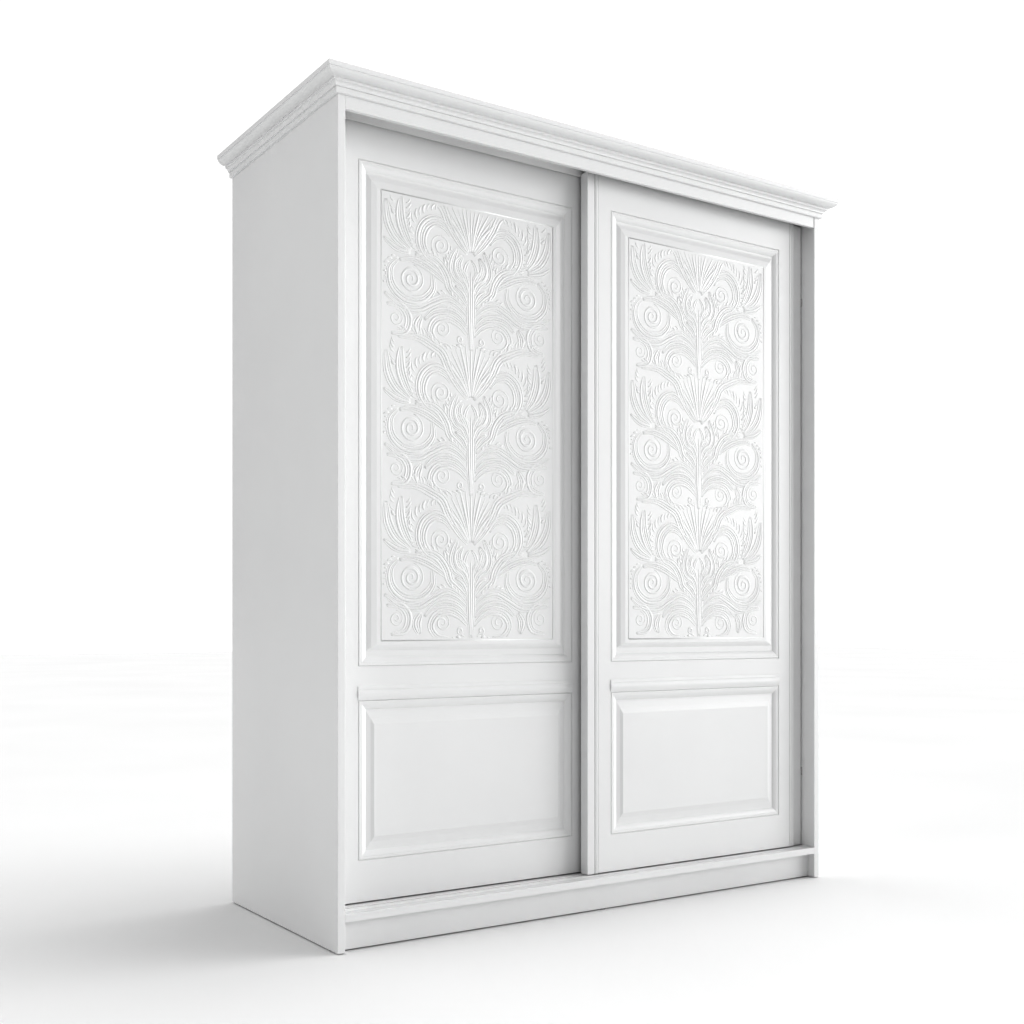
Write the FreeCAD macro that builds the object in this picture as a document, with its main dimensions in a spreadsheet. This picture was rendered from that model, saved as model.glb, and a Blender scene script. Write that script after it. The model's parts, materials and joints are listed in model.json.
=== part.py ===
"""Two-door sliding wardrobe: a carcass with cornice and plinth, and two panelled doors on rollers.

Millimetres. +X runs to the right along the front, +Y to the back and +Z up.
The origin lies on the floor, under the middle of the overall box.
"""
import FreeCAD, Part
import Sketcher
import math
import os
import re

os.makedirs("parts", exist_ok=True)
doc = FreeCAD.newDocument("sliding_wardrobe")
sheet = doc.addObject("Spreadsheet::Sheet", "Sizes")

# Driving sizes. Heights are above the floor, and depths are behind the carcass's front edge.
SIZES = {
    "carcass_width": 1570,
    "carcass_depth": 650,
    "side_board": 19,
    "shelf_board": 18,
    "back_board": 3,
    "back_strip": 1,
    "side_top": 1990,
    "glide_height": 3,
    "glide_radius": 8,
    "floor_board_foot": 72,
    "plinth_setback": 25,
    "plinth_board": 16,
    "rear_plinth_depth": 560,
    "top_board_foot": 1958,
    "overall_height": 2008,
    "cornice_foot": 1953,
    "cornice_reach": 41,
    "pelmet_foot": 1923,
    "pelmet_board": 10,
    "pelmet_end_gap": 3,
    "partition_setback": 124,
    "shelf_setback": 130,
    "shelf_side_gap": 0.5,
    "lowest_shelf": 500,
    "shelf_pitch": 410,
    "hat_shelf": 1700,
    "rail_height": 1640,
    "rail_depth": 390,
    "rail_radius": 12.5,
    "rail_wall": 1.5,
    "rail_end_gap": 4,
    "track_setback": 29,
    "track_width": 86,
    "track_seat": 9,
    "top_track_setback": 33,
    "door_width": 808,
    "door_thickness": 28,
    "door_side_gap": 3,
    "front_door_setback": 40,
    "rear_door_setback": 80,
    "door_foot": 93,
    "leaf_lift": 1,
    "door_top": 1938,
    "overlap_seal_top": 1930,
    "left_profile_width": 36,
    "right_profile_width": 28,
    "finger_pull_width": 31.5,
    "finger_pull_depth": 11,
    "moulding_width": 628,
    "moulding_band": 23,
    "panel_pocket": 8.5,
    "upper_foot": 650,
    "upper_top": 1850,
    "lower_foot": 191,
    "lower_top": 571,
    "dado_foot": 571,
    "front_moulding_centre": 391.5,
    "rear_moulding_centre": 383.5,
    "wheel_height": 97,
    "wheel_radius": 12,
    "wheel_width": 8.4,
    "axle_radius": 3,
    "left_wheel_place": 150,
    "right_wheel_place": 658,
    "housing_length": 60,
    "housing_width": 13,
    "housing_height": 37,
    "housing_slot": 9,
    "housing_crown": 5,
    "guide_wheel_radius": 18.7,
    "guide_wheel_height": 10,
    "guide_wheel_foot": 1942,
    "guide_plate": 3,
    "buffer_thickness": 2.6,
}
for row, (alias, value) in enumerate(SIZES.items(), start=1):
    sheet.set("A%d" % row, alias)
    sheet.set("B%d" % row, str(value))
    sheet.setAlias("B%d" % row, alias)
doc.recompute()

# Where the carcass's front left foot stands in the frame
CARCASS_LEFT = "-carcass_width / 2"
CARCASS_FRONT = "(cornice_reach - carcass_depth) / 2"
INNER_WIDTH = "(carcass_width - 2 * side_board)"
BOARD_DEPTH = "(carcass_depth - back_board - back_strip)"
BAY_WIDTH = "((carcass_width - 2 * side_board - shelf_board) / 2)"
RIGHT_BAY = "(carcass_width / 2 + shelf_board / 2)"
FLOOR_BOARD_TOP = "(floor_board_foot + shelf_board)"

finished = []


def linked(text):
    """An expression in which every size name points at the sheet."""
    def point(word):
        return "Sizes." + word.group(0) if word.group(0) in SIZES else word.group(0)
    return re.sub(r"[a-z][a-z_]*[a-z]", point, str(text))


def bind(thing, prop, text):
    """Drives one property of an object from the sheet."""
    thing.setExpression(prop, linked(text))


def place(thing, x, y, z):
    """Stands an object at a point measured from the carcass's front left foot."""
    bind(thing, "Placement.Base.x", "%s + %s" % (CARCASS_LEFT, x))
    bind(thing, "Placement.Base.y", "%s + %s" % (CARCASS_FRONT, y))
    bind(thing, "Placement.Base.z", z)


def new_body(name, x, y, z):
    """An empty body for one piece, standing at a point of the carcass."""
    body = doc.addObject("PartDesign::Body", name)
    body.Label = name
    place(body, x, y, z)
    finished.append(body)
    return body


def new_sketch(body, name, plane):
    """A sketch on one of the body's own origin planes."""
    sketch = body.newObject("Sketcher::SketchObject", name)
    origin_plane = [f for f in body.Origin.OriginFeatures if f.Role == plane][0]
    sketch.AttachmentSupport = [(origin_plane, "")]
    sketch.MapMode = "FlatFace"
    return sketch


def closed_lines(sketch, points):
    """A closed chain of lines through the points, and its corner joints."""
    count = len(points)
    for n, (x, y) in enumerate(points):
        far_x, far_y = points[(n + 1) % count]
        line = Part.LineSegment(FreeCAD.Vector(x, y, 0), FreeCAD.Vector(far_x, far_y, 0))
        sketch.addGeometry(line, False)
    for n in range(count):
        sketch.addConstraint(Sketcher.Constraint("Coincident", n, 2, (n + 1) % count, 1))


def rectangle(body, name, plane, left, foot, width, height):
    """A rectangle whose place and size are driven from the sheet."""
    sketch = new_sketch(body, name, plane)
    closed_lines(sketch, [(1, 1), (9, 1), (9, 9), (1, 9)])
    for line in (0, 2):
        sketch.addConstraint(Sketcher.Constraint("Horizontal", line))
    for line in (1, 3):
        sketch.addConstraint(Sketcher.Constraint("Vertical", line))
    sizes = [("wide", "DistanceX", (0, 1, 0, 2), width), ("tall", "DistanceY", (1, 1, 1, 2), height)]
    for offset, kind, axis in ((left, "DistanceX", -2), (foot, "DistanceY", -1)):
        if offset == "0":
            sketch.addConstraint(Sketcher.Constraint("PointOnObject", 0, 1, axis))
        else:
            sizes.append(("from_" + kind[-1].lower(), kind, (-1, 1, 0, 1), offset))
    for label, kind, ends, text in sizes:
        number = sketch.addConstraint(Sketcher.Constraint(kind, *ends, 5.0))
        sketch.renameConstraint(number, label)
        bind(sketch, "Constraints." + label, text)
    return sketch


def section(body, name, plane, points):
    """A closed section whose every corner is held at its own distances from the origin."""
    sketch = new_sketch(body, name, plane)
    closed_lines(sketch, points)
    for n, (x, y) in enumerate(points):
        for kind, axis, value in (("DistanceX", -2, x), ("DistanceY", -1, y)):
            if value == 0:
                sketch.addConstraint(Sketcher.Constraint("PointOnObject", n, 1, axis))
            else:
                sketch.addConstraint(Sketcher.Constraint(kind, -1, 1, n, 1, value))
    return sketch


def pad(body, sketch, length, midplane=False):
    """Raises a sketch into a solid. A reversed plane is not needed anywhere here."""
    feature = body.newObject("PartDesign::Pad", sketch.Name + "_pad")
    feature.Profile = sketch
    feature.Midplane = midplane
    bind(feature, "Length", length)
    sketch.Visibility = False
    doc.recompute()
    return feature


def pocket(body, sketch, depth, flip=False):
    """Cuts a sketch into the body, and makes sure that it took something away."""
    doc.recompute()
    before = body.Shape.Volume
    feature = body.newObject("PartDesign::Pocket", sketch.Name + "_pocket")
    feature.Profile = sketch
    feature.Reversed = flip
    bind(feature, "Length", depth)
    sketch.Visibility = False
    doc.recompute()
    if not body.Shape.Volume < before - 0.1:
        raise RuntimeError("pocket %s cuts nothing" % sketch.Name)
    return feature


def board(name, corner, size):
    """A rectangular board, from its front left lower corner."""
    body = new_body(name, *corner)
    outline = rectangle(body, name + "_outline", "XY_Plane", "0", "0", size[0], size[1])
    pad(body, outline, size[2])
    return body


def bar(name, corner, points, length, midplane=False):
    """A bar of one section in Y and Z, running along X."""
    body = new_body(name, *corner)
    pad(body, section(body, name + "_section", "YZ_Plane", points), length, midplane)
    return body


def group(name, members):
    """Identical small pieces that share one node."""
    together = doc.addObject("Part::Compound", name)
    together.Label = name
    together.Links = members
    finished.append(together)
    return together


def block(name, corner, size):
    """A plain block, for use in a group or a boolean."""
    box = doc.addObject("Part::Box", name)
    for prop, text in zip(("Length", "Width", "Height"), size):
        bind(box, prop, text)
    place(box, *corner)
    return box


def rod(name, corner, radius, length, axis="Z"):
    """A round rod along X, Y or Z, starting at the corner point."""
    turns = {
        "X": FreeCAD.Rotation(FreeCAD.Vector(0, 1, 0), 90),
        "Y": FreeCAD.Rotation(FreeCAD.Vector(1, 0, 0), -90),
        "Z": FreeCAD.Rotation(),
    }
    cylinder = doc.addObject("Part::Cylinder", name)
    cylinder.Placement = FreeCAD.Placement(FreeCAD.Vector(), turns[axis])
    bind(cylinder, "Radius", radius)
    bind(cylinder, "Height", length)
    place(cylinder, *corner)
    return cylinder


def joined(name, members):
    """One solid from several that touch."""
    fused = doc.addObject("Part::MultiFuse", name)
    fused.Shapes = members
    fused.Refine = True
    return fused


def cut_away(name, base, tool):
    """One solid with another taken out of it."""
    cut = doc.addObject("Part::Cut", name)
    cut.Base = base
    cut.Tool = tool
    return cut


# ---------------------------------------------------------------- carcass boards
SIDE_HEIGHT = "side_top - glide_height"
EDGE_ROUNDING = 1.0


def round_front_edges(body):
    """Rounds the two upright front edges of a board."""
    doc.recompute()
    plain = body.Tip
    edges = []
    for n, edge in enumerate(plain.Shape.Edges, start=1):
        low, high = edge.BoundBox.ZMin, edge.BoundBox.ZMax
        if edge.BoundBox.YMax < 0.01 and high - low > 100:
            edges.append("Edge%d" % n)
    fillet = body.newObject("PartDesign::Fillet", body.Name + "_edges")
    fillet.Base = (plain, edges)
    fillet.Radius = EDGE_ROUNDING
    doc.recompute()


left_side = board("left_side_panel", ("0", "0", "glide_height"), ("side_board", BOARD_DEPTH, SIDE_HEIGHT))
round_front_edges(left_side)
right_side = board(
    "right_side_panel",
    ("carcass_width - side_board", "0", "glide_height"),
    ("side_board", BOARD_DEPTH, SIDE_HEIGHT),
)
round_front_edges(right_side)

floor_board = board(
    "bottom_panel", ("side_board", "0", "floor_board_foot"), (INNER_WIDTH, BOARD_DEPTH, "shelf_board")
)
seat = rectangle(
    floor_board, "track_seat_outline", "XY_Plane", "0", "track_setback", INNER_WIDTH, "track_width"
)
bind(seat, "AttachmentOffset.Base.z", "shelf_board")
pocket(floor_board, seat, "track_seat")

board("top_panel", ("side_board", "0", "top_board_foot"), (INNER_WIDTH, BOARD_DEPTH, "shelf_board"))
board(
    "centre_partition",
    ("(carcass_width - shelf_board) / 2", "partition_setback", FLOOR_BOARD_TOP),
    (
        "shelf_board",
        BOARD_DEPTH + " - partition_setback",
        "top_board_foot - " + FLOOR_BOARD_TOP,
    ),
)
for name, depth in (("plinth_front", "plinth_setback"), ("plinth_back", "rear_plinth_depth")):
    board(
        name,
        ("side_board", depth, "glide_height"),
        (INNER_WIDTH, "plinth_board", "floor_board_foot - glide_height"),
    )
board(
    "pelmet",
    ("side_board", "0", "pelmet_foot"),
    (INNER_WIDTH + " - pelmet_end_gap", "pelmet_board", "top_board_foot - pelmet_foot"),
)

# The back is two thin sheets. A T strip covers the joint, which lies behind the partition.
SHEET_MARGIN = 2
STRIP_WEB = 2
STRIP_REACH = 12
SHEET_FOOT = 74
SHEET_TOP = 1988
SHEET_WIDTH = "carcass_width / 2 - %g - %g" % (SHEET_MARGIN, STRIP_WEB / 2)
for name, left in (
    ("back_panel_left", "%g" % SHEET_MARGIN),
    ("back_panel_right", "carcass_width / 2 + %g" % (STRIP_WEB / 2)),
):
    board(
        name,
        (left, BOARD_DEPTH, "%g" % SHEET_FOOT),
        (SHEET_WIDTH, "back_board", "%g" % (SHEET_TOP - SHEET_FOOT)),
    )
strip = new_body("back_joint_strip", "carcass_width / 2", BOARD_DEPTH, "%g" % SHEET_FOOT)
strip_section = section(
    strip,
    "strip_section",
    "XY_Plane",
    [
        (-STRIP_WEB / 2, 0),
        (STRIP_WEB / 2, 0),
        (STRIP_WEB / 2, SIZES["back_board"]),
        (STRIP_REACH, SIZES["back_board"]),
        (STRIP_REACH, SIZES["back_board"] + SIZES["back_strip"]),
        (-STRIP_REACH, SIZES["back_board"] + SIZES["back_strip"]),
        (-STRIP_REACH, SIZES["back_board"]),
        (-STRIP_WEB / 2, SIZES["back_board"]),
    ],
)
pad(strip, strip_section, "%g" % (SHEET_TOP - SHEET_FOOT))

# ---------------------------------------------------------------- cornice
# Section of the cornice as (reach in front of the carcass, height above the cornice's foot)
CORNICE_SECTION = [
    (0, 0),
    (6, 0.5),
    (7, 1.5),
    (7, 14),
    (10.5, 14),
    (11, 17.4),
    (12.5, 20.4),
    (14.8, 22.3),
    (18, 23),
    (18, 29),
    (23.5, 29.5),
    (28.6, 30.9),
    (33, 33.1),
    (36.4, 36),
    (38.6, 39.4),
    (39.3, 43),
    (41, 43),
    (41, 53.5),
    (39.5, 55),
    (0, 55),
]
MITRE_MARGIN = 1
REACH = SIZES["cornice_reach"]
HALF_WIDTH = SIZES["carcass_width"] / 2
MITRE_CUT = REACH + MITRE_MARGIN

cornice_front = bar(
    "cornice_front",
    ("carcass_width / 2", "0", "cornice_foot"),
    [(-reach, up) for reach, up in CORNICE_SECTION],
    "carcass_width + 2 * cornice_reach",
    midplane=True,
)
for side, label in ((1, "right"), (-1, "left")):
    corner = section(
        cornice_front,
        "mitre_" + label,
        "XY_Plane",
        [
            (side * HALF_WIDTH, 0),
            (side * (HALF_WIDTH + MITRE_CUT), 0),
            (side * (HALF_WIDTH + MITRE_CUT), -MITRE_CUT),
        ],
    )
    pocket(cornice_front, corner, "overall_height - cornice_foot", flip=True)

for side, label, foot in ((-1, "left", "0"), (1, "right", "carcass_width")):
    piece = new_body("cornice_" + label, foot, "carcass_depth", "cornice_foot")
    profile = section(
        piece, "cornice_%s_section" % label, "XZ_Plane", [(side * r, up) for r, up in CORNICE_SECTION]
    )
    pad(piece, profile, "carcass_depth + cornice_reach")
    depth = SIZES["carcass_depth"]
    corner = section(
        piece,
        "cornice_%s_mitre" % label,
        "XY_Plane",
        [
            (0, -depth),
            (0, -depth - MITRE_CUT),
            (side * MITRE_CUT, -depth - MITRE_CUT),
        ],
    )
    pocket(piece, corner, "overall_height - cornice_foot", flip=True)

# ---------------------------------------------------------------- tracks
# Lower track: two roller grooves, one behind the other, under the middles of the doors
GROOVE_WIDTH = 10
GROOVE_FLOOR = 3.7
TRACK_TOP = 9.6
LIP = 1
TRACK_WIDTH = SIZES["track_width"]
door_middles = [
    SIZES[door] + SIZES["door_thickness"] / 2 - SIZES["track_setback"]
    for door in ("front_door_setback", "rear_door_setback")
]
lower_section = [(0, 0), (0, TRACK_TOP - LIP), (LIP, TRACK_TOP)]
for middle in door_middles:
    lower_section += [
        (middle - GROOVE_WIDTH / 2, TRACK_TOP),
        (middle - GROOVE_WIDTH / 2, GROOVE_FLOOR),
        (middle + GROOVE_WIDTH / 2, GROOVE_FLOOR),
        (middle + GROOVE_WIDTH / 2, TRACK_TOP),
    ]
lower_section += [(TRACK_WIDTH - LIP, TRACK_TOP), (TRACK_WIDTH, TRACK_TOP - LIP), (TRACK_WIDTH, 0)]
bar(
    "bottom_track",
    ("side_board", "track_setback", FLOOR_BOARD_TOP + " - track_seat"),
    lower_section,
    INNER_WIDTH,
)

# Upper track: a web with three flanges hanging from it, which make two guide channels
WEB = 3
FLANGE = 2
CHANNEL = 38
FLANGE_DROP = 24
upper_section = [(0, 0), (3 * FLANGE + 2 * CHANNEL, 0)]
for number in (2, 1, 0):
    near = number * (FLANGE + CHANNEL)
    upper_section += [(near + FLANGE, -FLANGE_DROP), (near, -FLANGE_DROP)]
    if number:
        upper_section += [(near, -WEB), (near - CHANNEL, -WEB)]
bar("top_track", ("side_board", "top_track_setback", "top_board_foot"), upper_section, INNER_WIDTH)

# ---------------------------------------------------------------- inside: shelves and hanging rail
SHELF_SIZE = (
    BAY_WIDTH + " - 2 * shelf_side_gap",
    BOARD_DEPTH + " - shelf_setback",
    "shelf_board",
)
shelves = []
for number in range(3):
    height = "lowest_shelf + %d * shelf_pitch" % number
    shelves.append(("left_shelf_%d" % (number + 1), "side_board", height))
shelves.append(("right_top_shelf", RIGHT_BAY, "hat_shelf"))
for name, left, height in shelves:
    board(name, (left + " + shelf_side_gap", "shelf_setback", height), SHELF_SIZE)

# Four pins under each shelf
PIN_RADIUS = 2.5
PIN_LENGTH = 8
PIN_INSET = 60
pins = []
for name, left, height in shelves:
    for end, start in (("near", left), ("far", "%s + %s - %g" % (left, BAY_WIDTH, PIN_LENGTH))):
        for row, depth in (
            ("front", "shelf_setback + %g" % PIN_INSET),
            ("back", BOARD_DEPTH + " - %g" % PIN_INSET),
        ):
            pins.append(
                rod(
                    "pin_%s_%s_%s" % (name, end, row),
                    (start, depth, height + " - %g" % PIN_RADIUS),
                    "%g" % PIN_RADIUS,
                    "%g" % PIN_LENGTH,
                    "X",
                )
            )
group("shelf_pins", pins)

rail = new_body("hanging_rail", RIGHT_BAY + " + rail_end_gap", "rail_depth", "rail_height")
rail_sketch = new_sketch(rail, "rail_section", "YZ_Plane")
for label, radius in (("outer", "rail_radius"), ("inner", "rail_radius - rail_wall")):
    number = sum(1 for _ in rail_sketch.Geometry)
    circle = Part.Circle(FreeCAD.Vector(), FreeCAD.Vector(0, 0, 1), 10 if label == "outer" else 8)
    rail_sketch.addGeometry(circle, False)
    rail_sketch.addConstraint(Sketcher.Constraint("Coincident", number, 3, -1, 1))
    constraint = rail_sketch.addConstraint(Sketcher.Constraint("Radius", number, 10.0 - 2 * number))
    rail_sketch.renameConstraint(constraint, label)
    bind(rail_sketch, "Constraints." + label, radius)
pad(rail, rail_sketch, BAY_WIDTH + " - 2 * rail_end_gap")

# Each rail bracket is a round plate on the board with a cup round the rail's end
PLATE = 3
PLATE_RADIUS = 24
CUP_LENGTH = 14
CUP_WALL = 2
CUP_PLAY = 0.1
brackets = []
for label, wall, inward in (("left", RIGHT_BAY, 1), ("right", RIGHT_BAY + " + " + BAY_WIDTH, -1)):
    plate_start = wall if inward > 0 else "%s - %g" % (wall, PLATE)
    cup_start = wall if inward > 0 else "%s - %g" % (wall, CUP_LENGTH)
    hollow_start = "%s + %g" % (wall, PLATE) if inward > 0 else "%s - %g" % (wall, CUP_LENGTH + 1)
    at = ("rail_depth", "rail_height")
    plate = rod("rail_plate_" + label, (plate_start,) + at, "%g" % PLATE_RADIUS, "%g" % PLATE, "X")
    cup = rod("rail_cup_" + label, (cup_start,) + at, "rail_radius + %g" % CUP_WALL, "%g" % CUP_LENGTH, "X")
    hollow = rod(
        "rail_hollow_" + label,
        (hollow_start,) + at,
        "rail_radius + %g" % CUP_PLAY,
        "%g" % (CUP_LENGTH + 1 - PLATE),
        "X",
    )
    body = joined("rail_bracket_body_" + label, [plate, cup])
    brackets.append(cut_away("rail_bracket_" + label, body, hollow))
group("rail_brackets", brackets)

# ---------------------------------------------------------------- feet, angle fasteners and end buffers
GLIDE_INSET = 45
glides = []
for column, x in (
    ("left", "side_board / 2"),
    ("middle", "carcass_width / 2"),
    ("right", "carcass_width - side_board / 2"),
):
    for line in ("front", "back"):
        if column == "middle":
            y = {"front": "plinth_setback", "back": "rear_plinth_depth"}[line] + " + plinth_board / 2"
        else:
            y = {"front": "%g" % GLIDE_INSET, "back": BOARD_DEPTH + " - %g" % GLIDE_INSET}[line]
        glides.append(rod("glide_%s_%s" % (column, line), (x, y, "0"), "glide_radius", "glide_height"))
group("floor_glides", glides)

ANGLE_WIDTH = 40
ANGLE_LEG = 30
ANGLE_RISE = 12
ANGLE_SHEET = 2
angles = []
for line, y in (("front", 180), ("back", 480)):
    for end, wall, inward in (("left", "side_board", 1), ("right", "carcass_width - side_board", -1)):
        for level in ("foot", "top"):
            top = level == "top"
            rise = ANGLE_RISE if top else ANGLE_LEG
            shelf_z = "top_board_foot + shelf_board" if top else "floor_board_foot - %g" % ANGLE_SHEET
            wall_z = "top_board_foot + shelf_board" if top else "floor_board_foot - %g" % rise
            tag = "%s_%s_%s" % (line, end, level)
            flat = block(
                "angle_flat_" + tag,
                (wall if inward > 0 else "%s - %g" % (wall, ANGLE_LEG), "%g" % y, shelf_z),
                ("%g" % ANGLE_LEG, "%g" % ANGLE_WIDTH, "%g" % ANGLE_SHEET),
            )
            upright = block(
                "angle_upright_" + tag,
                (wall if inward > 0 else "%s - %g" % (wall, ANGLE_SHEET), "%g" % y, wall_z),
                ("%g" % ANGLE_SHEET, "%g" % ANGLE_WIDTH, "%g" % rise),
            )
            angles.append(joined("angle_" + tag, [flat, upright]))
group("carcass_angles", angles)

BUFFER_WIDTH = 12
BUFFER_HEIGHT = 24
BUFFER_INSET = 8
buffers = []
for end, x in (("left", "side_board"), ("right", "carcass_width - side_board - buffer_thickness")):
    for line in ("front", "rear"):
        for level, z in (("low", 300), ("high", 1700)):
            buffers.append(
                block(
                    "buffer_%s_%s_%s" % (end, line, level),
                    (x, "%s_door_setback + %g" % (line, BUFFER_INSET), "%g" % z),
                    ("buffer_thickness", "%g" % BUFFER_WIDTH, "%g" % BUFFER_HEIGHT),
                )
            )
group("end_buffers", buffers)

# ---------------------------------------------------------------- doors
# Sections in a door are (distance along the section, depth behind the door's face).
LEFT_PROFILE_SECTION = [
    (0, 28),
    (0, 0.8),
    (0.8, 0),
    (21, 0),
    (22.5, 1),
    (22.8, 2.8),
    (24.2, 2.8),
    (25, 1.9),
    (27, 0.9),
    (29.5, 0.3),
    (32.5, 0),
    (35, 0.3),
    (36, 0.9),
    (36, 28),
]
RIGHT_PROFILE_SECTION = [
    (0, 28),
    (0, 3.6),
    (3, 3.6),
    (4.2, 2.2),
    (9.6, 2.2),
    (11, 3.6),
    (12.6, 3.6),
    (14, 2.8),
    (21.5, 3.2),
    (24.5, 5.4),
    (28, 11),
    (28, 28),
]
# The mitred moulding, from its outer quirk to its inner foot, as (distance inward, depth)
MOULDING_SECTION = [
    (0, 8.5),
    (0, 2),
    (1.4, 2),
    (2.6, 0.2),
    (4, 0),
    (6.8, 0.1),
    (7.4, 0.8),
    (8.6, 0.8),
    (10, 0.7),
    (12, 1.2),
    (15, 2.1),
    (18.5, 3.5),
    (21, 5),
    (23, 6.5),
    (23, 8.5),
]
# The horizontal moulding across the door, as (depth, height above its foot); it stands proud
DADO_SECTION = [
    (0, 0),
    (-0.6, 0),
    (-1.2, 2.5),
    (-2.3, 6.5),
    (-3.1, 12),
    (-3.1, 15.5),
    (-2.3, 19.5),
    (-1.3, 22.5),
    (-1.3, 24.5),
    (-1.9, 26),
    (-1.7, 29.5),
    (-0.8, 32.5),
    (0, 34),
]
# Raised panels: how far inside the moulding's outer edge each level lies, as (side, foot, top),
# and how deep it is behind the door's face. The levels run from the ledge up to the raised field.
PANEL_LEDGE = 6.5
UPPER_LEVELS = [
    ((25, 38, 29), PANEL_LEDGE),
    ((36, 45, 42), 2.9),
    ((50, 51, 58), 1.2),
]
LOWER_LEVELS = [
    ((25, 28, 28), PANEL_LEDGE),
    ((35.5, 42, 44), 5.2),
    ((44, 54, 59), 2.4),
]

MORTISE_LENGTH = 64
MORTISE_WIDTH = 13.6
MORTISE_HEIGHT = 38
AXLE_PLAY = 0.05
BRISTLE = 2.6
SEAL_WIDTH = 6
OVERLAP_BRISTLE = 6.5
SEAL_BACK_INSET = 1
GUIDE_PLATE_LENGTH = 60
GUIDE_PLATE_WIDTH = 24
COLLAR_RADIUS = 6
CAP_RADIUS = 5
WHEEL_PLAY = 0.4
CAP_HEIGHT = 2
UPPER_FRAME = ("upper_foot", "upper_top")
LOWER_FRAME = ("lower_foot", "lower_top")
DOOR_HEIGHT = "door_top - door_foot"


def moulding_frame(name, left, setback, frame):
    """A mitred frame of moulding, swept round the rectangle of a panel."""
    foot, top = (SIZES[level] for level in frame)
    width = SIZES["moulding_width"]
    half = width / 2
    height = top - foot
    band = new_body(name, left, setback, frame[0])
    outline = section(
        band,
        name + "_path",
        "XZ_Plane",
        [(half, 0), (width, 0), (width, height), (0, height), (0, 0)],
    )
    profile = section(band, name + "_section", "YZ_Plane", [(depth, t) for t, depth in MOULDING_SECTION])
    profile.AttachmentOffset = FreeCAD.Placement(FreeCAD.Vector(0, 0, half), FreeCAD.Rotation())
    doc.recompute()
    pipe = band.newObject("PartDesign::AdditivePipe", name + "_sweep")
    pipe.Profile = profile
    pipe.Spine = (outline, ["Edge%d" % n for n in range(1, 6)])
    pipe.Transition = "Right corner"
    outline.Visibility = False
    profile.Visibility = False
    doc.recompute()
    return band


def raised_panel(name, left, setback, frame, levels):
    """A panel with a ledge at its edge, two bevels of different slopes and a raised field."""
    width = "moulding_width"
    height = "(%s - %s)" % (frame[1], frame[0])
    base = block(
        name + "_ledge",
        (left + " + moulding_band", "%s + %g" % (setback, PANEL_LEDGE), frame[0] + " + moulding_band"),
        (
            width + " - 2 * moulding_band",
            "panel_pocket - %g" % PANEL_LEDGE,
            height + " - 2 * moulding_band",
        ),
    )
    solids = [base]
    for number in (1, 2):
        (low_side, low_foot, low_top), low_depth = levels[number - 1]
        (side, foot, top), depth = levels[number]
        wedge = doc.addObject("Part::Wedge", "%s_bevel_%d" % (name, number))
        bounds = {
            "Xmin": "%g" % side,
            "Xmax": "%s - %g" % (width, side),
            "Zmin": "%g" % foot,
            "Zmax": "%s - %g" % (height, top),
            "X2min": "%g" % low_side,
            "X2max": "%s - %g" % (width, low_side),
            "Z2min": "%g" % low_foot,
            "Z2max": "%s - %g" % (height, low_top),
            "Ymin": "%g" % depth,
            "Ymax": "%g" % low_depth,
        }
        for prop, text in bounds.items():
            bind(wedge, prop, text)
        place(wedge, left, setback, frame[0])
        solids.append(wedge)
    panel = joined(name, solids)
    panel.Label = name
    finished.append(panel)
    return panel


def turned_wheel(name, corner, plane, axis, points):
    """A wheel turned about one axis of its sketch."""
    wheel = new_body(name, *corner)
    profile = section(wheel, name + "_section", plane, points)
    turn = wheel.newObject("PartDesign::Revolution", name + "_turn")
    turn.Profile = profile
    turn.ReferenceAxis = (profile, [axis])
    turn.Angle = 360
    profile.Visibility = False
    doc.recompute()
    return wheel


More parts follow.
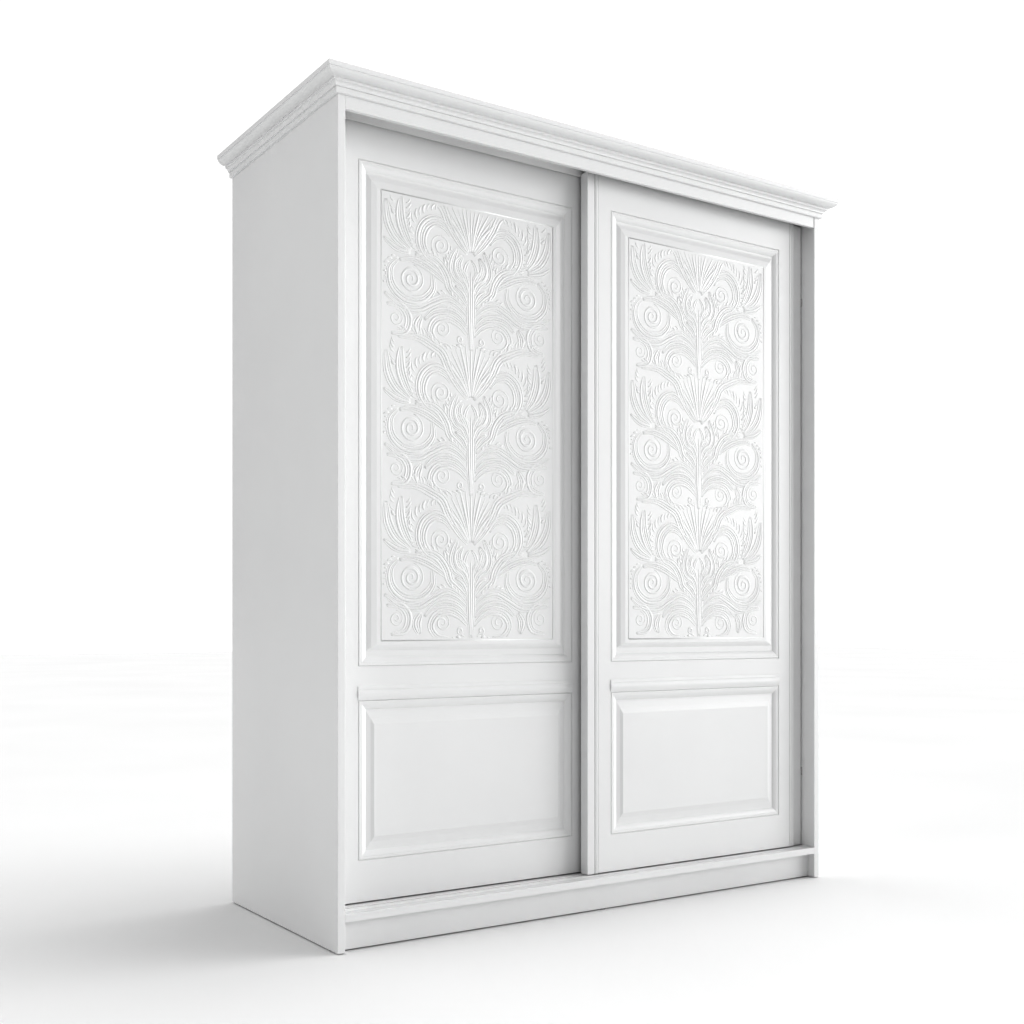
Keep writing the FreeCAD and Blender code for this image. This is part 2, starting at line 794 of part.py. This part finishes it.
def make_door(door, left, closed_side):
    """All the pieces of one door. left is its left edge from the carcass's left side."""
    setback = door + "_door_setback"
    prefix = door + "_door_"
    moulding_left = "%s + %s_moulding_centre - moulding_width / 2" % (left, door)
    leaf_left = left + " + left_profile_width"
    leaf_width = "door_width - left_profile_width - right_profile_width - finger_pull_width"
    right_profile_left = left + " + door_width - finger_pull_width - right_profile_width"

    leaf = board(
        prefix + "leaf",
        (leaf_left, setback, "door_foot + leaf_lift"),
        (leaf_width, "door_thickness", DOOR_HEIGHT + " - leaf_lift"),
    )
    for label, frame in (("upper", UPPER_FRAME), ("lower", LOWER_FRAME)):
        opening = rectangle(
            leaf,
            "%s%s_opening" % (prefix, label),
            "XZ_Plane",
            door + "_moulding_centre - moulding_width / 2 - left_profile_width",
            frame[0] + " - door_foot - leaf_lift",
            "moulding_width",
            "%s - %s" % (frame[1], frame[0]),
        )
        pocket(leaf, opening, "panel_pocket")
    for label in ("left", "right"):
        mortise = rectangle(
            leaf,
            "%s%s_mortise" % (prefix, label),
            "XY_Plane",
            "%s_wheel_place - left_profile_width - %g" % (label, MORTISE_LENGTH / 2),
            "door_thickness / 2 - %g" % (MORTISE_WIDTH / 2),
            "%g" % MORTISE_LENGTH,
            "%g" % MORTISE_WIDTH,
        )
        pocket(leaf, mortise, "%g" % MORTISE_HEIGHT, flip=True)

    for label, points, start in (
        ("left_profile", LEFT_PROFILE_SECTION, left),
        ("right_profile", RIGHT_PROFILE_SECTION, right_profile_left),
    ):
        profile = new_body(prefix + label, start, setback, "door_foot")
        pad(profile, section(profile, prefix + label + "_section", "XY_Plane", points), DOOR_HEIGHT)
    # The door's right edge is set back, so that fingertips hook behind the profile to slide the door
    board(
        prefix + "finger_pull",
        (left + " + door_width - finger_pull_width", setback + " + finger_pull_depth", "door_foot"),
        ("finger_pull_width", "door_thickness - finger_pull_depth", DOOR_HEIGHT),
    )

    moulding_frame(prefix + "upper_moulding", moulding_left, setback, UPPER_FRAME)
    moulding_frame(prefix + "lower_moulding", moulding_left, setback, LOWER_FRAME)
    bar(prefix + "dado_moulding", (moulding_left, setback, "dado_foot"), DADO_SECTION, "moulding_width")
    raised_panel(
        prefix + "carved_panel",
        moulding_left,
        setback,
        UPPER_FRAME,
        UPPER_LEVELS,
    )
    raised_panel(
        prefix + "lower_panel",
        moulding_left,
        setback,
        LOWER_FRAME,
        LOWER_LEVELS,
    )

    middle = setback + " + door_thickness / 2"
    housings = []
    guides = []
    wheel_half = SIZES["wheel_width"] / 2
    bore = SIZES["axle_radius"] + AXLE_PLAY
    radius = SIZES["wheel_radius"]
    guide_height = SIZES["guide_wheel_height"]
    guide_radius = SIZES["guide_wheel_radius"]
    for label in ("left", "right"):
        across = "%s + %s_wheel_place" % (left, label)
        tag = prefix + label
        shell = block(
            tag + "_housing_block",
            (across + " - housing_length / 2", middle + " - housing_width / 2", "door_foot"),
            ("housing_length", "housing_width", "housing_height"),
        )
        slot = block(
            tag + "_housing_slot",
            (across + " - housing_length / 2", middle + " - housing_slot / 2", "door_foot"),
            ("housing_length", "housing_slot", "housing_height - housing_crown"),
        )
        axle = rod(
            tag + "_axle",
            (across, middle + " - housing_width / 2", "wheel_height"),
            "axle_radius",
            "housing_width",
            "Y",
        )
        fork = cut_away(tag + "_fork", shell, slot)
        housings.append(joined(tag + "_housing", [fork, axle]))
        turned_wheel(
            "%swheel_%s" % (prefix, label),
            (across, middle, "wheel_height"),
            "YZ_Plane",
            "H_Axis",
            [
                (-wheel_half, bore),
                (wheel_half, bore),
                (wheel_half, radius - 1),
                (wheel_half - 1, radius),
                (1 - wheel_half, radius),
                (-wheel_half, radius - 1),
            ],
        )
        plate = block(
            tag + "_guide_plate",
            (
                across + " - %g" % (GUIDE_PLATE_LENGTH / 2),
                middle + " - %g" % (GUIDE_PLATE_WIDTH / 2),
                "door_top",
            ),
            ("%g" % GUIDE_PLATE_LENGTH, "%g" % GUIDE_PLATE_WIDTH, "guide_plate"),
        )
        wheel_top = "guide_wheel_foot + guide_wheel_height + %g" % WHEEL_PLAY
        collar = rod(
            tag + "_guide_collar",
            (across, middle, "door_top"),
            "%g" % COLLAR_RADIUS,
            "guide_wheel_foot - door_top - %g" % WHEEL_PLAY,
        )
        pin = rod(
            tag + "_guide_pin", (across, middle, "door_top"), "axle_radius", wheel_top + " - door_top"
        )
        cap = rod(tag + "_guide_cap", (across, middle, wheel_top), "%g" % CAP_RADIUS, "%g" % CAP_HEIGHT)
        guides.append(joined(tag + "_guide", [plate, collar, pin, cap]))
        turned_wheel(
            "%sguide_wheel_%s" % (prefix, label),
            (across, middle, "guide_wheel_foot"),
            "XZ_Plane",
            "V_Axis",
            [
                (bore, 0),
                (guide_radius - 1, 0),
                (guide_radius, 1),
                (guide_radius, guide_height - 1),
                (guide_radius - 1, guide_height),
                (bore, guide_height),
            ],
        )
    group(prefix + "roller_housings", housings)
    group(prefix + "guide_brackets", guides)

    edge = left + " - %g" % BRISTLE if closed_side == "left" else left + " + door_width"
    board(
        prefix + "edge_seal",
        (edge, "%s + door_thickness - %g" % (setback, SEAL_WIDTH + SEAL_BACK_INSET), "door_foot"),
        ("%g" % BRISTLE, "%g" % SEAL_WIDTH, DOOR_HEIGHT),
    )


make_door("rear", "side_board + door_side_gap", "left")
FRONT_DOOR_LEFT = "carcass_width - side_board - door_side_gap - door_width"
make_door("front", FRONT_DOOR_LEFT, "right")
# Bristles on the back of the front door's left profile brush past the face of the rear door.
# They stop below the middle flange of the upper track.
board(
    "front_door_overlap_seal",
    (FRONT_DOOR_LEFT + " + left_profile_width / 2", "front_door_setback + door_thickness", "door_foot"),
    ("%g" % SEAL_WIDTH, "%g" % OVERLAP_BRISTLE, "overlap_seal_top - door_foot"),
)

# ---------------------------------------------------------------- check and write
doc.recompute()
for thing in doc.Objects:
    if any(word in thing.State for word in ("Invalid", "Error")):
        raise RuntimeError("%s is in state %s" % (thing.Name, thing.State))
for piece in finished:
    shape = piece.Shape
    if shape.isNull() or not shape.isValid() or not shape.Solids:
        raise RuntimeError("%s has no sound solid" % piece.Label)
    shape.exportStep("parts/%s.step" % piece.Label)
    print("%-34s %2d solid(s) %12.1f mm3" % (piece.Label, len(shape.Solids), shape.Volume))
print(len(finished), "nodes")
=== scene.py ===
import json
import math

import bpy
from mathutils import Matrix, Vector


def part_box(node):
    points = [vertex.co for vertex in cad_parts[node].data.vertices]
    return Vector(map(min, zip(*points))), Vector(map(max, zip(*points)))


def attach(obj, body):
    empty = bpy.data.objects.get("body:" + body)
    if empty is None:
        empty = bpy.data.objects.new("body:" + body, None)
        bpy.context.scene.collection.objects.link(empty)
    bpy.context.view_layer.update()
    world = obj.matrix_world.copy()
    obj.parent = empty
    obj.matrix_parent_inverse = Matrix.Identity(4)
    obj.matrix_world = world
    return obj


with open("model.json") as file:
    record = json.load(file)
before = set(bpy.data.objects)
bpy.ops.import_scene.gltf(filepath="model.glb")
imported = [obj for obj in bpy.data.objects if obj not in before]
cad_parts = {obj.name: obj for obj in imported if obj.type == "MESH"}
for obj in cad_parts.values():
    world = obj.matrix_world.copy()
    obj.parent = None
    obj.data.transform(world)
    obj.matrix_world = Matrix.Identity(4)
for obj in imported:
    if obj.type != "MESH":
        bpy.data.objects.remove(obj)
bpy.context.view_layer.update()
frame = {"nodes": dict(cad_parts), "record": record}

MM = 0.001


# ---------------------------------------------------------------- materials

class Paint:
    """A material under construction: one Principled shader fed by procedural nodes."""

    def __init__(self, name):
        self.material = bpy.data.materials.new(name)
        self.material.use_nodes = True
        self.tree = self.material.node_tree
        self.shader = self.tree.nodes["Principled BSDF"]
        self.place = self.tree.nodes.new("ShaderNodeTexCoord").outputs["Object"]

    def node(self, kind, **inputs):
        """Adds a node, and sets or links its inputs by name."""
        made = self.tree.nodes.new(kind)
        for key, value in inputs.items():
            self.feed(made.inputs[key.replace("_", " ")], value)
        return made

    def feed(self, socket, value):
        """Links the input to another node's output, or sets it to a plain value."""
        if isinstance(value, bpy.types.NodeSocket):
            self.tree.links.new(value, socket)
        else:
            socket.default_value = value

    def stretched(self, scale):
        """The object's own coordinates, multiplied along X, Y and Z."""
        return self.node("ShaderNodeMapping", Vector=self.place, Scale=scale).outputs["Vector"]

    def noise(self, scale, detail=2.0, roughness=0.5, place=None):
        """A cloudy factor between 0 and 1; scale is its number of clouds to the metre."""
        made = self.node("ShaderNodeTexNoise", Vector=place or self.place, Scale=scale)
        self.feed(made.inputs["Detail"], detail)
        self.feed(made.inputs["Roughness"], roughness)
        return made.outputs["Fac"]

    def colours(self, factor, low, high, start=0.3, end=0.7):
        """Runs from one colour to another as the factor rises from start to end."""
        ramp = self.node("ShaderNodeValToRGB", Fac=factor)
        first, last = ramp.color_ramp.elements
        first.position, last.position = start, end
        first.color, last.color = (*low, 1.0), (*high, 1.0)
        self.feed(self.shader.inputs["Base Color"], ramp.outputs["Color"])

    def roughness(self, factor, low, high):
        """Runs the shader's roughness from low to high with the factor."""
        made = self.node("ShaderNodeMapRange", Value=factor, To_Min=low, To_Max=high)
        self.feed(self.shader.inputs["Roughness"], made.outputs["Result"])

    def bump(self, height, depth, strength=1.0):
        """Tilts the surface as if it rose and fell by depth, in metres."""
        made = self.node("ShaderNodeBump", Height=height, Strength=strength, Distance=depth)
        self.feed(self.shader.inputs["Normal"], made.outputs["Normal"])

    def fixed(self, **values):
        """Sets the shader's other inputs, which are the same all over."""
        for key, value in values.items():
            self.shader.inputs[key.replace("_", " ")].default_value = value


def white_lacquer():
    """Sprayed satin lacquer on board: an almost even white, with a very fine orange peel."""
    paint = Paint("white_lacquer")
    clouds = paint.noise(2.2, 3.0)
    paint.colours(clouds, (0.768, 0.770, 0.771), (0.792, 0.794, 0.794))
    paint.roughness(paint.noise(9.0, 3.0), 0.36, 0.46)
    paint.bump(paint.noise(420.0, 2.0), 0.000004)
    paint.fixed(Specular_IOR_Level=0.4, Coat_Weight=0.12, Coat_Roughness=0.22)
    return paint.material


def white_laminate():
    """Matt white laminate with a faint upright grain pressed into it."""
    paint = Paint("white_laminate")
    grain = paint.noise(60.0, 4.0, 0.6, paint.stretched((7.0, 7.0, 0.35)))
    paint.colours(grain, (0.750, 0.752, 0.753), (0.778, 0.780, 0.780))
    paint.roughness(grain, 0.46, 0.58)
    paint.bump(grain, 0.000006, 0.6)
    paint.fixed(Specular_IOR_Level=0.35)
    return paint.material


def track_metal():
    """White powder coat on extruded aluminium: a finely pebbled satin skin."""
    paint = Paint("track_metal")
    pebbles = paint.noise(900.0, 2.0)
    paint.colours(paint.noise(5.0), (0.83, 0.83, 0.83), (0.87, 0.87, 0.87))
    paint.roughness(pebbles, 0.34, 0.50)
    paint.bump(pebbles, 0.00001)
    paint.fixed(Specular_IOR_Level=0.5)
    return paint.material


def rail_chrome():
    """Polished chrome plate with faint haze."""
    paint = Paint("rail_chrome")
    haze = paint.noise(40.0, 4.0)
    paint.colours(haze, (0.76, 0.77, 0.79), (0.84, 0.85, 0.86))
    paint.roughness(haze, 0.06, 0.14)
    paint.fixed(Metallic=1.0)
    return paint.material


def zinc_steel():
    """Bright zinc plate: pale grey with cloudy patches and fine rolling lines."""
    paint = Paint("zinc_steel")
    lines = paint.noise(120.0, 3.0, 0.5, paint.stretched((0.2, 1.0, 6.0)))
    paint.colours(paint.noise(35.0, 4.0), (0.56, 0.58, 0.61), (0.72, 0.73, 0.74))
    paint.roughness(lines, 0.24, 0.42)
    paint.bump(lines, 0.00003)
    paint.fixed(Metallic=1.0)
    return paint.material


def moulded_plastic(name, low, high, rough):
    """Moulded plastic with a slightly matt, finely mottled skin."""
    paint = Paint(name)
    mottle = paint.noise(260.0, 3.0)
    paint.colours(mottle, low, high)
    paint.roughness(mottle, rough, rough + 0.12)
    paint.bump(mottle, 0.00004)
    paint.fixed(Specular_IOR_Level=0.45)
    return paint.material


def seal_bristle():
    """Grey brush pile: thousands of short upright hairs, with painted shade darkening the gaps between them.
    """
    paint = Paint("seal_bristle")
    hairs_and_gap_shade = paint.noise(500.0, 3.0, 0.7, paint.stretched((1.0, 0.2, 3.0)))
    # The colour's dark end is painted shade in the gaps between the hairs; the same pattern gives the hairs'
    # bumps and roughness.
    paint.colours(hairs_and_gap_shade, (0.40, 0.40, 0.40), (0.66, 0.66, 0.66), 0.35, 0.65)
    paint.roughness(hairs_and_gap_shade, 0.75, 0.95)
    paint.bump(hairs_and_gap_shade, 0.0004)
    paint.fixed(Specular_IOR_Level=0.2, Sheen_Weight=0.3)
    return paint.material


MATERIALS = {
    "white_lacquer": white_lacquer(),
    "white_laminate": white_laminate(),
    "track_metal": track_metal(),
    "rail_chrome": rail_chrome(),
    "zinc_steel": zinc_steel(),
    "nylon": moulded_plastic("nylon", (0.76, 0.76, 0.73), (0.84, 0.84, 0.82), 0.38),
    "glide_plastic": moulded_plastic("glide_plastic", (0.30, 0.30, 0.30), (0.38, 0.38, 0.38), 0.5),
    "buffer_rubber": moulded_plastic("buffer_rubber", (0.48, 0.48, 0.48), (0.58, 0.58, 0.58), 0.7),
    "seal_bristle": seal_bristle(),
}


def finish_cad_nodes():
    """Gives each CAD node the material of the slot that the record names for it."""
    for part in frame["record"]["subparts"]:
        mesh = frame["nodes"][part["node"]].data
        mesh.materials.clear()
        mesh.materials.append(MATERIALS[part["material_slot"]])


# ------------------------------------------------------------ carved panels
# The carving is drawn on the panel's face in millimetres: x to the right of the panel's middle, z up.
# One repeat of the pattern is drawn about its fan's foot, for the right half, and mirrored.

# Height of each repeat's fan foot above the panel's middle
FAN_FEET = (422.0, 60.0, -302.0)
CARVED_HALF_WIDTH = 247.0
CARVED_HALF_HEIGHT = 534.0
BORDER_WIDTH = 5.0
BORDER_HEIGHT = 0.15
STROKE_WIDTH = 5.6
STROKE_HEIGHT = 0.7
# How broad and high one stroke after another is, as a share of STROKE_WIDTH and STROKE_HEIGHT
CHISELS = (1.0, 1.45, 0.8, 1.2, 0.95, 1.6, 0.85, 1.1, 1.3)
# A stroke's rounded back: its shoulders lie this far out, as a share of half the width,
# and this high, as a share of the height
SHOULDER_REACH = 0.62
SHOULDER_RISE = 0.7
# What is left of a stroke's size at its ends
STROKE_TIP = 0.2
# How deep a stroke's edges lie under the panel's face
SUNK = 0.4
# Space between the lines of a bundle
PITCH = 7.0
# Space between the points along a line, and along a frond's lobe
STEP = 6.0
LOBE_STEP = 4.0
SCROLL_POINTS_PER_TURN = 20
FAN_LEAVES = 8


def smooth_line(points, step=STEP):
    """A curve through the points (Catmull-Rom), as points about step apart."""
    chain = [Vector(p) for p in points]
    chain.insert(0, 2 * chain[0] - chain[1])
    chain.append(2 * chain[-1] - chain[-2])
    line = []
    for before, a, b, after in zip(chain, chain[1:], chain[2:], chain[3:]):
        count = max(1, round((b - a).length / step))
        for i in range(count):
            t = i / count
            bend = 2 * before - 5 * a + 4 * b - after
            twist = 3 * a - before - 3 * b + after
            line.append((2 * a + (b - before) * t + bend * t ** 2 + twist * t ** 3) / 2)
    line.append(chain[-2])
    return line


def swell(t, power):
    """Rises from 0 at t = 0 to 1 in the middle and falls back to 0 at t = 1."""
    return max(0.0, math.sin(math.pi * t)) ** power


def across(line, i):
    """The unit vector to the left of the line at point i."""
    along = line[min(i + 1, len(line) - 1)] - line[max(i - 1, 0)]
    return Vector((-along.y, along.x)).normalized()


def bundle(*points, count=4, pitch=PITCH, meet=0.25):
    """Lines that run side by side and draw together at both ends, to a share meet of their pitch."""
    line = smooth_line(points)
    last = len(line) - 1
    lines = []
    for k in range(count):
        shift = (k - (count - 1) / 2) * pitch
        lines.append([
            p + across(line, i) * shift * (meet + (1 - meet) * swell(i / last, 0.6))
            for i, p in enumerate(line)
        ])
    return lines


def scroll(x, z, radius, start, turns):
    """A line that winds in evenly to the centre x, z, anticlockwise where turns is positive."""
    count = round(abs(turns) * SCROLL_POINTS_PER_TURN)
    line = []
    for i in range(count + 1):
        t = i / count
        reach = radius * (1 - t) + STROKE_WIDTH / 2
        angle = math.radians(start) + 2 * math.pi * turns * t
        line.append(Vector((x + reach * math.cos(angle), z + reach * math.sin(angle))))
    return [line]


def frond(*spine, count, length, lean, side):
    """Curved lobes that leave one side of a spine, longest at its middle, their tips leaning forward.

    Side is 1 for the lobes to the left of the spine and -1 for those to its right.
    """
    line = smooth_line(spine)
    last = len(line) - 1
    lobes = []
    for k in range(count):
        t = (k + 0.5) / count
        i = round(t * last)
        out = across(line, i) * side
        ahead = Vector((out.y, -out.x)) * side
        reach = length * (0.6 + 0.4 * math.sin(math.pi * t))
        knee = line[i] + out * reach * 0.5 + ahead * reach * lean * 0.3
        tip = line[i] + out * reach * 0.8 + ahead * reach * lean
        lobes.append(smooth_line([line[i], knee, tip], LOBE_STEP))
    return lobes


def fan():
    """Leaves that spread upward from the fan's foot, between two long arms."""
    lines = []
    for k in range(FAN_LEAVES):
        lean = math.radians(6 + 6.5 * k)
        reach = 142 - 4.5 * k
        knee = (reach * 0.5 * math.sin(0.85 * lean) + 1, reach * 0.5 * math.cos(0.85 * lean))
        tip = (reach * math.sin(lean) + 2, reach * math.cos(lean))
        lines.append(smooth_line([(1.5 + 0.8 * k, 7), knee, tip]))
    lines += bundle((8, 2), (34, 30), (62, 70), (82, 108), (118, 128), (158, 141), (208, 136), pitch=7.5)
    lines += frond((84, 118), (118, 138), (158, 150), (200, 146),
                   count=9, length=22, lean=0.9, side=1)
    return lines


def upper_scroll():
    """The scroll beside the fan, with an acanthus leaf curling over it."""
    lines = scroll(86, 10, 27, -70, 2.1)
    lines += bundle((92, -38), (126, -22), (144, 12), (134, 50), (104, 70), (72, 60), (54, 36), count=5)
    lines += frond((124, -30), (158, 8), (158, 52), (130, 84), (96, 98),
                   count=14, length=24, lean=0.9, side=-1)
    return lines


def outer_plumes():
    """Plumes between the upper scroll and the border."""
    lines = bundle((166, -10), (188, 24), (200, 64), (198, 112), count=4)
    lines += bundle((172, -16), (212, 10), (234, 48), (240, 98), count=4)
    lines += bundle((172, -22), (212, -14), (246, 6), count=3)
    lines += frond((176, 20), (186, 60), (184, 104), count=7, length=20, lean=1.0, side=1)
    lines += frond((212, 60), (216, 90), (214, 124), count=5, length=18, lean=1.0, side=-1)
    return lines


def middle_scroll():
    """The largest scroll, and the leaves that join it to the stem."""
    lines = scroll(170, -84, 33, 100, 2.4)
    lines += bundle((146, -84), (156, -66), (178, -62), (192, -76), count=2, pitch=6.0)
    lines += bundle((112, -58), (110, -100), (142, -132), (190, -134), (224, -106), (228, -66),
                    (204, -38), count=4)
    lines += bundle((64, -84), (98, -60), (134, -42), (172, -34), (204, -42), count=4, pitch=6.0)
    lines += bundle((12, -130), (40, -106), (60, -90), (70, -62), (90, -36), (120, -22),
                    (160, -24), count=4)
    lines += frond((60, -74), (74, -42), (100, -22), (136, -12), count=8, length=18, lean=0.9, side=1)
    lines += frond((210, -30), (236, -62), (240, -104), count=7, length=14, lean=0.9, side=1)
    return lines


def long_lines():
    """Long lines that leave the stem under the middle scroll and run out to the border."""
    lines = bundle((9, -154), (40, -128), (74, -118), (112, -134), (152, -154), (198, -152),
                   (244, -126), count=4)
    lines += bundle((9, -180), (38, -154), (74, -145), (108, -154), (134, -178), count=4, pitch=6.0)
    lines += frond((30, -128), (60, -110), (92, -114), count=6, length=18, lean=0.8, side=1)
    return lines


def lower_scrolls():
    """The small scrolls at the stem's foot and beside the border."""
    lines = scroll(82, -194, 20, 60, 1.8)
    lines += bundle((9, -202), (34, -178), (68, -166), (102, -176), (116, -204), (98, -228),
                    (64, -232), count=3)
    lines += scroll(212, -184, 18, 90, 1.7)
    lines += bundle((238, -152), (198, -154), (178, -180), (188, -212), (226, -222), count=3)
    lines += bundle((142, -168), (156, -194), (148, -222), count=4)
    lines += scroll(31, -214, 7, 200, 1.4)
    lines += frond((12, -228), (44, -240), (84, -244), count=6, length=16, lean=0.9, side=1)
    return lines


def stem():
    """Half of the upright stem, with its bud and its pairs of side leaves."""
    lines = bundle((7, -52), (9, -110), (8, -170), (3, -238), count=2, pitch=6.0)
    lines += bundle((4, -62), (17, -44), (12, -24), (1, -12), count=2, pitch=6.0)
    lines += bundle((16, -66), (32, -50), (38, -26), (24, -4), count=4, pitch=6.0)
    lines += bundle((20, -80), (46, -64), (58, -40), (52, -12), (38, 14), count=4, pitch=6.0)
    lines += frond((58, -44), (62, -20), (52, 8), count=5, length=15, lean=0.9, side=-1)
    for foot in (-124, -100, -76):
        lines += bundle((9, foot), (22, foot + 26), (46, foot + 42), count=3, pitch=6.0)
    return lines


def whole_carving():
    """Every line on one panel, cut off at the carving's edge, and its chisel."""
    half = fan() + upper_scroll() + outer_plumes() + middle_scroll()
    half += long_lines() + lower_scrolls() + stem()
    middle = [smooth_line([(0, 8), (0, 142)]), smooth_line([(0, -40), (0, -240)])]
    mirrored = [[Vector((-p.x, p.y)) for p in line] for line in half]
    for foot in FAN_FEET:
        for number, line in enumerate(half + mirrored + middle):
            for run in runs_inside([p + Vector((0, foot)) for p in line]):
                yield run, CHISELS[number % len(CHISELS)]


def runs_inside(line):
    """The stretches of a line that lie inside the carving's edge."""
    run = []
    for p in line:
        if abs(p.x) < CARVED_HALF_WIDTH and abs(p.y) < CARVED_HALF_HEIGHT:
            run.append(p)
            continue
        if len(run) > 2:
            yield run
        run = []
    if len(run) > 2:
        yield run


def add_bead(vertices, faces, line, width, height, pointed=True):
    """A half-round bead along a line, standing on the panel's face."""
    shoulder = SHOULDER_RISE * height
    section = [
        (-1.0, -SUNK), (-SHOULDER_REACH, shoulder), (0.0, height), (SHOULDER_REACH, shoulder), (1.0, -SUNK),
    ]
    first = len(vertices)
    rows = len(section)
    last = len(line) - 1
    for i, p in enumerate(line):
        full = STROKE_TIP + (1.0 - STROKE_TIP) * swell(i / last, 0.5) if pointed else 1.0
        side = across(line, i) * full * width / 2
        for x, rise in section:
            q = p + side * x
            vertices.append((q.x, -rise * (full if rise > 0 else 1.0), q.y))
    for i in range(last):
        for k in range(rows):
            a = first + i * rows + k
            b = first + i * rows + (k + 1) % rows
            faces.append((a, b, b + rows, a + rows))
    faces.append(tuple(first + k for k in reversed(range(rows))))
    faces.append(tuple(first + last * rows + k for k in range(rows)))


def carving(door):
    """The raised carving that stands on a door's upper panel."""
    low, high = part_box(door + "_carved_panel")
    centre = Vector(((low.x + high.x) / 2, low.y, (low.z + high.z) / 2))
    vertices, faces = [], []
    for line, chisel in whole_carving():
        add_bead(vertices, faces, line, STROKE_WIDTH * chisel, STROKE_HEIGHT * chisel)
    x, z = CARVED_HALF_WIDTH + BORDER_WIDTH, CARVED_HALF_HEIGHT + BORDER_WIDTH
    corners = [Vector(p) for p in ((-x, -z), (x, -z), (x, z), (-x, z))]
    for a, b in zip(corners, corners[1:] + corners[:1]):
        add_bead(vertices, faces, [a, b], BORDER_WIDTH, BORDER_HEIGHT, pointed=False)
    mesh = bpy.data.meshes.new(door + "_carving")
    mesh.from_pydata([Vector(v) * MM + centre for v in vertices], [], faces)
    mesh.polygons.foreach_set("use_smooth", [True] * len(mesh.polygons))
    mesh.materials.append(MATERIALS["white_lacquer"])
    piece = bpy.data.objects.new(door + "_carving", mesh)
    bpy.context.scene.collection.objects.link(piece)
    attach(piece, door)


# ------------------------------------------------------- floor, light, camera

FLOOR_SIZE = 60.0
# The camera's place in metres, its turn to the right in degrees, its lens in millimetres and its upward shift
CAMERA_PLACE = (-2.0266, -2.8687, 0.7498)
CAMERA_HEADING = -33.80
CAMERA_LENS = 43.79
CAMERA_RISE = 0.1099


def floor():
    """A plain pale floor, far larger than the picture."""
    paint = Paint("studio_floor")
    paint.colours(paint.noise(0.6), (0.83, 0.83, 0.83), (0.85, 0.85, 0.85))
    paint.fixed(Roughness=0.9, Specular_IOR_Level=0.1)
    half = FLOOR_SIZE / 2
    corners = [(-half, -half, 0), (half, -half, 0), (half, half, 0), (-half, half, 0)]
    mesh = bpy.data.meshes.new("studio_floor")
    mesh.from_pydata(corners, [], [(0, 1, 2, 3)])
    mesh.materials.append(paint.material)
    piece = bpy.data.objects.new("studio_floor", mesh)
    bpy.context.scene.collection.objects.link(piece)


# Soft lamps far away. Each one's light comes from so many degrees right of straight in front of the doors
# and so many degrees above level, and has a strength.
LAMP_SPREAD = 36.0
LAMPS = {
    "key": (58.0, 5.0, 0.59),
    "side_key": (80.0, 5.0, 0.49),
    "left_fill": (-90.0, 24.0, 0.17),
    "upper_right": (66.0, 66.0, 0.16),
    "back_left_fill": (-135.0, 66.0, 0.105),
    "back_right_fill": (110.0, 66.0, 0.20),
}
# How bright the white surroundings are for the light they give, and as the camera sees them
FILL_FROM_ALL_ROUND = 0.575
BACKGROUND = 1.1
# The display's gamma: under 1 deepens the greys
CONTRAST = 0.62


def lamp(name, heading, height, strength):
    """A broad soft lamp, so far off that its light falls evenly over the whole floor."""
    data = bpy.data.lights.new(name, "SUN")
    data.angle = math.radians(LAMP_SPREAD)
    data.energy = strength * math.pi
    lit = bpy.data.objects.new(name, data)
    lit.rotation_euler = (math.radians(90.0 - height), 0.0, math.radians(heading))
    bpy.context.scene.collection.objects.link(lit)


def studio_light():
    """A white background, an even fill from all round, and broad soft lamps, strongest low on the right."""
    world = bpy.data.worlds.new("studio")
    bpy.context.scene.world = world
    world.use_nodes = True
    tree = world.node_tree
    fill = tree.nodes["Background"]
    seen = tree.nodes.new("ShaderNodeBackground")
    for node, strength in ((fill, FILL_FROM_ALL_ROUND), (seen, BACKGROUND)):
        node.inputs["Color"].default_value = (1.0, 1.0, 1.0, 1.0)
        node.inputs["Strength"].default_value = strength
    path = tree.nodes.new("ShaderNodeLightPath")
    mix = tree.nodes.new("ShaderNodeMixShader")
    tree.links.new(path.outputs["Is Camera Ray"], mix.inputs[0])
    tree.links.new(fill.outputs["Background"], mix.inputs[1])
    tree.links.new(seen.outputs["Background"], mix.inputs[2])
    tree.links.new(mix.outputs["Shader"], tree.nodes["World Output"].inputs["Surface"])
    for name, (heading, height, strength) in LAMPS.items():
        lamp(name, heading, height, strength)
    settings = bpy.context.scene.view_settings
    settings.view_transform = "Standard"
    settings.gamma = CONTRAST


def camera():
    """A level camera, so the uprights stay parallel; the lens is raised instead of tilted."""
    data = bpy.data.cameras.new("camera")
    data.lens = CAMERA_LENS
    data.shift_y = CAMERA_RISE
    made = bpy.data.objects.new("camera", data)
    made.location = CAMERA_PLACE
    made.rotation_euler = (math.radians(90), 0, math.radians(CAMERA_HEADING))
    bpy.context.scene.collection.objects.link(made)
    bpy.context.scene.camera = made


camera()
finish_cad_nodes()
carving("front_door")
carving("rear_door")
floor()
studio_light()
